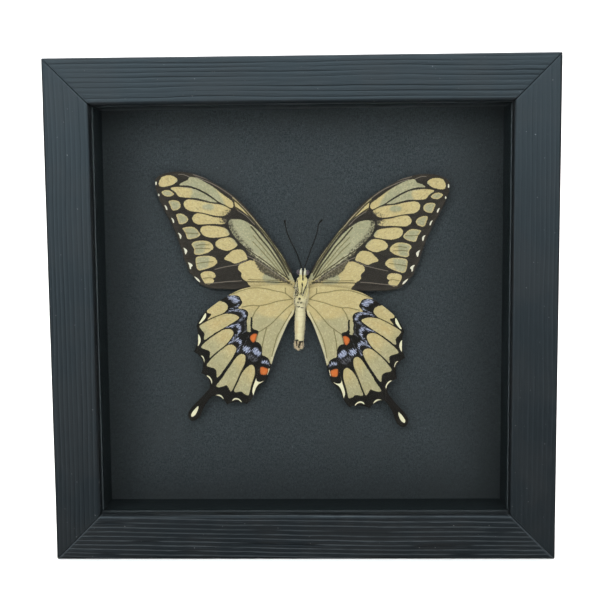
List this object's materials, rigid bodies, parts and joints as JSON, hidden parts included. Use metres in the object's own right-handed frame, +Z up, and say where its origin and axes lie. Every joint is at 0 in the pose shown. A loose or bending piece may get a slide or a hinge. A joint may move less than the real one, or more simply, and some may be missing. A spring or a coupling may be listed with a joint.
{
  "type": "framed butterfly specimen",
  "caption": "Dried swallowtail butterfly, underside forwards, on a black board in a small glazed shadow-box frame of stained wood.",
  "frame": {"origin": "middle of the bottom of the frame, in width and in depth", "axes": "+Z up the frame, -Y out of the glass towards the viewer, +X to the viewer's right"},
  "size_m": [0.2032, 0.033, 0.202],
  "materials": {
    "stained_wood": "black-stained open grain, satin",
    "clear_glass": "clear",
    "black_spacer": "matt black",
    "black_paper": "fibrous matt",
    "hardboard": "pressed, matt",
    "zinc_steel": "zinc plated",
    "wing_scales": "dry scaled membrane",
    "body_scales": "short scales and hair",
    "antenna": "satin black"
  },
  "bodies": {
    "root": {"rail_top": "stained_wood", "rail_bottom": "stained_wood", "rail_left": "stained_wood", "rail_right": "stained_wood", "glass": "clear_glass", "spacer_top": "black_spacer", "spacer_bottom": "black_spacer", "spacer_left": "black_spacer", "spacer_right": "black_spacer", "mount_board": "black_paper", "back_panel": "hardboard", "point_1": "zinc_steel", "point_2": "zinc_steel", "point_3": "zinc_steel", "point_4": "zinc_steel", "point_5": "zinc_steel", "point_6": "zinc_steel", "point_7": "zinc_steel", "point_8": "zinc_steel", "sawtooth_hanger": "zinc_steel", "hanger_nail_left": "zinc_steel", "hanger_nail_right": "zinc_steel", "body": "body_scales", "forewing_left": "wing_scales", "forewing_right": "wing_scales", "hindwing_left": "wing_scales", "hindwing_right": "wing_scales", "antenna_left": "antenna", "antenna_right": "antenna"}
  },
  "joints": []
}
